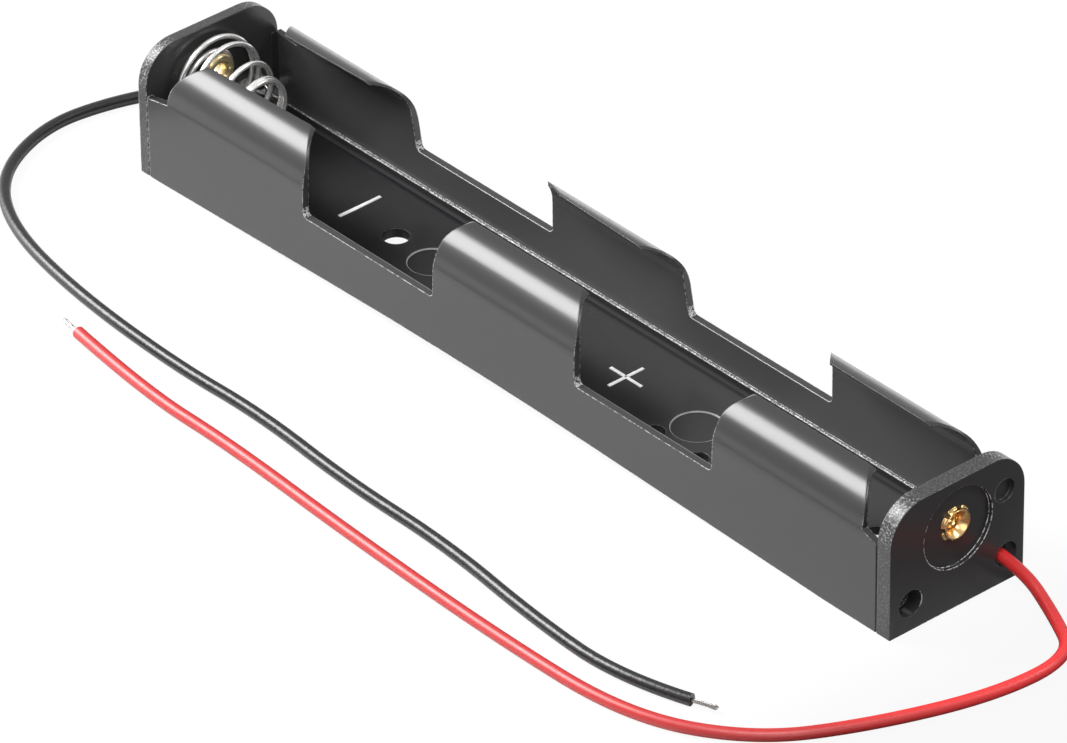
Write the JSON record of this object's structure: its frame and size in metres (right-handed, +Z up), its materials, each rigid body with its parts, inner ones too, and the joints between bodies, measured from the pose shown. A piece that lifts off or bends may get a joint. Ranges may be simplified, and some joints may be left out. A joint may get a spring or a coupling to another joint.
{
  "type": "in-line holder for two AA cells",
  "caption": "Open moulded holder for AA cells laid end to end, with curled spring flaps, a conical spring, riveted contacts and wire leads.",
  "frame": {"origin": "under the middle of the tray, on the surface that it stands on, the leads left out", "axes": "+X along the cells towards the positive contact, +Z up out of the open mouth"},
  "size_m": [0.1331, 0.0436, 0.0138],
  "materials": {
    "moulding": "satin black moulding, spark-eroded on the rims",
    "nickel_wire": "bright nickel plate",
    "nickel_sheet": "nickel-plated sheet",
    "brass": "bright brass",
    "solder": "satin solder",
    "tinned_copper": "tinned strands",
    "red_pvc": "soft satin insulation",
    "black_pvc": "soft satin insulation"
  },
  "bodies": {
    "holder": {"housing": "moulding", "negative_eyelet": "brass", "positive_eyelet": "brass", "positive_contact": "nickel_sheet", "negative_solder_tag": "nickel_sheet", "positive_solder_joint": "solder", "negative_solder_joint": "solder", "red_lead": "red_pvc", "red_lead_core": "tinned_copper", "red_lead_tip": "tinned_copper", "black_lead": "black_pvc", "black_lead_core": "tinned_copper", "black_lead_tip": "tinned_copper"},
    "spring": {"negative_spring": "nickel_wire"}
  },
  "joints": [
    {"name": "spring_compression", "type": "slide", "parent": "holder", "child": "spring", "axis": [-1, 0, 0], "range_m": [0, 0.0044], "stiffness_N_per_m": 600, "deforming": ["negative_spring"]}
  ]
}
